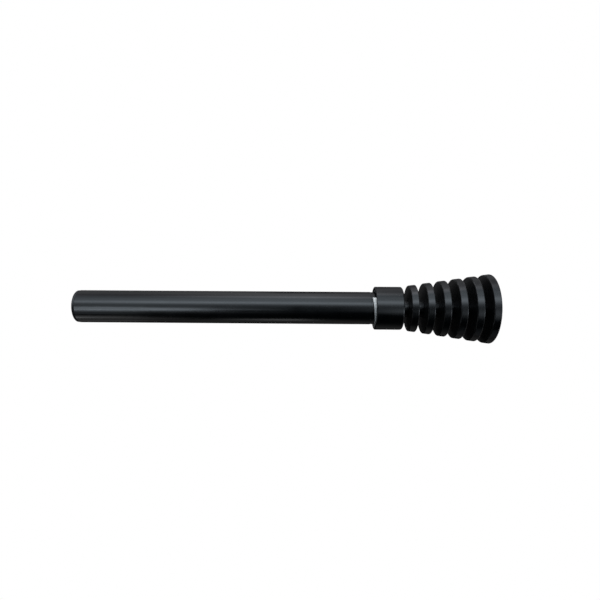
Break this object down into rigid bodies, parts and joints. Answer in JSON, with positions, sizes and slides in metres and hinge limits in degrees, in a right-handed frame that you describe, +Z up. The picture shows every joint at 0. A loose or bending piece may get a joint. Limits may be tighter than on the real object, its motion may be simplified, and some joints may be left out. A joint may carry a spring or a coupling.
{
  "type": "telescoping curtain rod",
  "caption": "Black telescoping curtain rod end with a collar and a ribbed, flared finial of stacked discs; it carries a curtain between brackets.",
  "frame": {"origin": "on the rod's axis, at the open mouth of the outer tube", "axes": "+X along the rod towards the finial, +Z up, -Y towards the room"},
  "size_m": [0.3225, 0.0542, 0.0542],
  "materials": {
    "tube_black": "satin black powder coat on steel tube",
    "inner_tube_black": "satin black, polished lengthwise by sliding",
    "collar_black": "satin black coat over a turned ring",
    "disc_black": "satin black coat over fine turning marks",
    "spacer_black": "satin black coat",
    "cap_plastic": "fine matt moulded texture",
    "liner_plastic": "pale natural plastic",
    "guide_plastic": "off-white moulded plastic",
    "nylon": "natural nylon",
    "zinc_steel": "zinc plated",
    "spring_steel": "phosphated spring steel",
    "black_steel": "black oxide"
  },
  "bodies": {
    "rod": {"outer_tube": "tube_black", "guide_ring": "guide_plastic"},
    "extension": {"inner_tube": "inner_tube_black", "inner_glide": "guide_plastic", "end_cap": "cap_plastic"},
    "finial": {"collar": "collar_black", "split_liner": "liner_plastic", "tie_stud": "zinc_steel", "plain_washer": "zinc_steel", "lock_washer": "spring_steel", "clamp_nut": "zinc_steel", "spacer_1": "spacer_black", "spacer_2": "spacer_black", "spacer_3": "spacer_black", "spacer_4": "spacer_black", "spacer_5": "spacer_black", "disc_1": "disc_black", "disc_2": "disc_black", "disc_3": "disc_black", "disc_4": "disc_black", "disc_5": "disc_black", "disc_6": "disc_black"},
    "screw_pad": {"screw_tip": "nylon"},
    "screw": {"set_screw": "black_steel"}
  },
  "joints": [
    {"name": "rod_extend", "type": "slide", "parent": "rod", "child": "extension", "axis": [-1, 0, 0], "range_m": [0, 0.19]},
    {"name": "finial_pull", "type": "slide", "parent": "rod", "child": "finial", "axis": [1, 0, 0], "range_m": [0, 0.03]},
    {"name": "screw_travel", "type": "slide", "parent": "finial", "child": "screw_pad", "axis": [0, 0.2588, -0.9659], "range_m": [0, 0.0021]},
    {"name": "screw_turn", "type": "hinge", "parent": "screw_pad", "child": "screw", "pos_m": [0.239, 0.00414, -0.01545], "axis": [0, 0.2588, -0.9659], "range_deg": [0, 1080]}
  ],
  "couplings": [
    {"joint": "screw_turn", "follows": "screw_travel", "rad_per_m": 8976}
  ]
}
